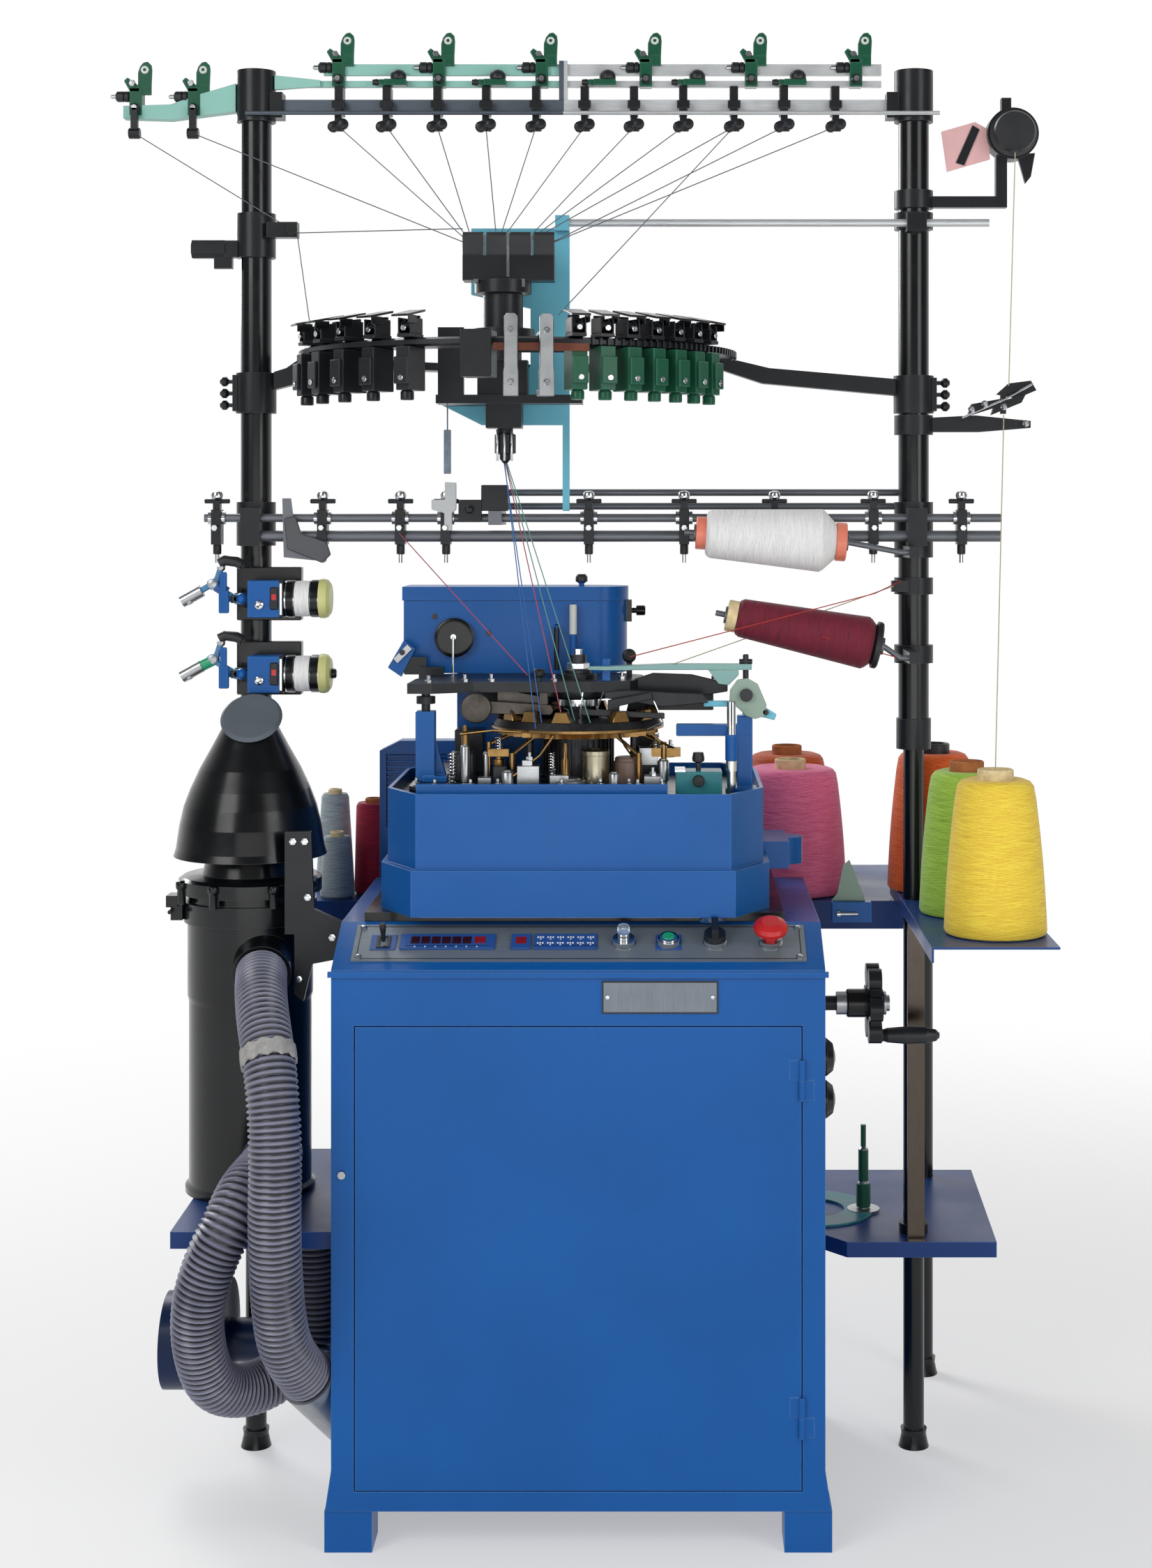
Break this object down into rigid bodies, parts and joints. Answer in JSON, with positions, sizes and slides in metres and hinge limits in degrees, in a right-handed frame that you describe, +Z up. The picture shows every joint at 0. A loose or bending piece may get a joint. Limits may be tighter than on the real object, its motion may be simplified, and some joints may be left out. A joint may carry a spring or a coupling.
{
  "type": "sock knitting machine",
  "caption": "Circular sock knitting machine on a blue cabinet with console, hand crank, suction canister with hoses, yarn creel, carrier ring and yarn cones.",
  "frame": {"origin": "on the floor, at the middle of the four bolt holes in the cabinet's feet", "axes": "+X to the right seen from the front, +Y to the back, +Z up"},
  "size_m": [1.3299, 0.9437, 2.04],
  "materials": {
    "blue_enamel": "gloss",
    "black_paint": "satin",
    "black_casting": "satin",
    "green_paint": "gloss",
    "teal_paint": "satin",
    "sky_paint": "satin",
    "steel": "brushed",
    "bright_steel": "polished",
    "brass": "polished",
    "blackened_steel": "brushed",
    "keypad": "matte",
    "black_plastic": "matte",
    "gloss_black": "gloss",
    "red_plastic": "gloss",
    "green_plastic": "gloss",
    "grey_hose": "satin",
    "belt_rubber": "matte",
    "motor_paint": "satin",
    "yarn_yellow": "matte",
    "yarn_green": "matte",
    "yarn_orange": "matte",
    "yarn_pink": "matte",
    "yarn_white": "matte",
    "yarn_red": "matte",
    "yarn_grey": "matte",
    "thread": "matte",
    "card": "matte"
  },
  "bodies": {
    "frame": {"cabinet_shell": "blue_enamel", "cabinet_feet": "blue_enamel", "cabinet_fittings": "steel", "fascia_plate": "steel", "keypad_panels": "keypad", "deck_plates": "black_paint", "tub": "blue_enamel", "gearbox_housing": "blue_enamel", "dial_arm": "black_casting", "head_posts": "blue_enamel", "head_levers": "steel", "head_blocks": "blackened_steel", "cam_ring": "steel", "brass_fingers": "brass", "drive_motor": "motor_paint", "drive_belt": "belt_rubber", "creel_poles": "black_paint", "pole_clamps": "black_casting", "creel_rails": "steel", "teal_rails": "teal_paint", "top_guides": "green_paint", "mid_guides": "black_casting", "carrier_ring": "black_casting", "ring_units": "green_paint", "ring_bracket": "sky_paint", "distribution_head": "black_casting", "feeder_frames": "blue_enamel", "canister_body": "black_paint", "canister_lid": "black_paint", "canister_bell": "gloss_black", "suction_blower": "blue_enamel", "hose_to_cabinet": "grey_hose", "hose_loop": "grey_hose", "creel_trays": "blue_enamel", "cone_yellow": "yarn_yellow", "cone_green": "yarn_green", "cones_orange": "yarn_orange", "cone_pink": "yarn_pink", "cone_white": "yarn_white", "cones_red": "yarn_red", "cones_grey": "yarn_grey", "cone_tubes": "card", "yarn_strands": "thread"},
    "door": {"door": "blue_enamel"},
    "stop_button": {"stop_button": "red_plastic"},
    "start_button": {"start_button": "green_plastic"},
    "push_button": {"push_button": "steel"},
    "selector_knob": {"selector_knob": "black_plastic"},
    "toggle_lever": {"toggle_lever": "black_plastic"},
    "needle_cylinder": {"needle_cylinder": "bright_steel"},
    "dial": {"dial": "steel"},
    "handwheel": {"handwheel": "black_casting"},
    "crank_handle": {"crank_handle": "black_plastic"},
    "motor_pulley": {"motor_pulley": "steel"},
    "feeder_drum_upper": {"feeder_drum_upper": "bright_steel"},
    "feeder_drum_lower": {"feeder_drum_lower": "bright_steel"},
    "feeder_drum_right": {"feeder_drum_right": "black_plastic"},
    "tension_arm_upper": {"tension_arm_upper": "bright_steel"},
    "tension_arm_lower": {"tension_arm_lower": "bright_steel"},
    "gearbox_lid": {"gearbox_lid": "blue_enamel"}
  },
  "joints": [
    {"name": "door_hinge", "type": "hinge", "parent": "frame", "child": "door", "pos_m": [0.28975, -0.2415, 0.38], "axis": [0, 0, 1], "range_deg": [0, 110]},
    {"name": "stop_press", "type": "slide", "parent": "frame", "child": "stop_button", "axis": [0, 0.4104, -0.9119], "range_m": [0, 0.006]},
    {"name": "start_press", "type": "slide", "parent": "frame", "child": "start_button", "axis": [0, 0.4104, -0.9119], "range_m": [0, 0.004], "stiffness_N_per_m": 300, "springref_m": -0.005},
    {"name": "push_press", "type": "slide", "parent": "frame", "child": "push_button", "axis": [0, 0.4104, -0.9119], "range_m": [0, 0.004], "stiffness_N_per_m": 300, "springref_m": -0.005},
    {"name": "selector_turn", "type": "hinge", "parent": "frame", "child": "selector_knob", "pos_m": [0.178, -0.1908, 0.78701], "axis": [0, -0.4104, 0.9119], "range_deg": [-45, 45]},
    {"name": "toggle_tilt", "type": "hinge", "parent": "frame", "child": "toggle_lever", "pos_m": [-0.258, -0.18846, 0.78181], "axis": [1, 0, 0], "range_deg": [-14, 14]},
    {"name": "handwheel_spin", "type": "hinge", "parent": "frame", "child": "handwheel", "pos_m": [0.404, 0, 0.662], "axis": [1, 0, 0], "continuous": true},
    {"name": "cylinder_spin", "type": "hinge", "parent": "frame", "child": "needle_cylinder", "pos_m": [-0.009, 0, 0.9], "axis": [0, 0, 1], "continuous": true},
    {"name": "dial_spin", "type": "hinge", "parent": "frame", "child": "dial", "pos_m": [-0.009, 0, 1.09], "axis": [0, 0, 1], "continuous": true},
    {"name": "motor_spin", "type": "hinge", "parent": "frame", "child": "motor_pulley", "pos_m": [0.165, 0, 0.27], "axis": [1, 0, 0], "continuous": true},
    {"name": "crank_spin", "type": "hinge", "parent": "handwheel", "child": "crank_handle", "pos_m": [0.43, 0, 0.617], "axis": [1, 0, 0], "continuous": true},
    {"name": "drum_upper_spin", "type": "hinge", "parent": "frame", "child": "feeder_drum_upper", "pos_m": [-0.4, 0.04, 1.226], "axis": [1, 0, 0], "continuous": true},
    {"name": "drum_lower_spin", "type": "hinge", "parent": "frame", "child": "feeder_drum_lower", "pos_m": [-0.4, 0.04, 1.12], "axis": [1, 0, 0], "continuous": true},
    {"name": "drum_right_spin", "type": "hinge", "parent": "frame", "child": "feeder_drum_right", "pos_m": [0.613, 0.08, 1.893], "axis": [0, 1, 0], "continuous": true},
    {"name": "tension_arm_upper_swing", "type": "hinge", "parent": "frame", "child": "tension_arm_upper", "pos_m": [-0.492, 0.031, 1.226], "axis": [0, 1, 0], "range_deg": [-25, 25]},
    {"name": "tension_arm_lower_swing", "type": "hinge", "parent": "frame", "child": "tension_arm_lower", "pos_m": [-0.492, 0.031, 1.12], "axis": [0, 1, 0], "range_deg": [-25, 25]},
    {"name": "lid_hinge", "type": "hinge", "parent": "frame", "child": "gearbox_lid", "pos_m": [-0.1, 0.226, 1.218], "axis": [-1, 0, 0], "range_deg": [0, 95]}
  ],
  "couplings": [
    {"joint": "cylinder_spin", "follows": "handwheel_spin", "ratio": -1},
    {"joint": "dial_spin", "follows": "handwheel_spin", "ratio": -1},
    {"joint": "motor_spin", "follows": "handwheel_spin", "ratio": 2}
  ]
}
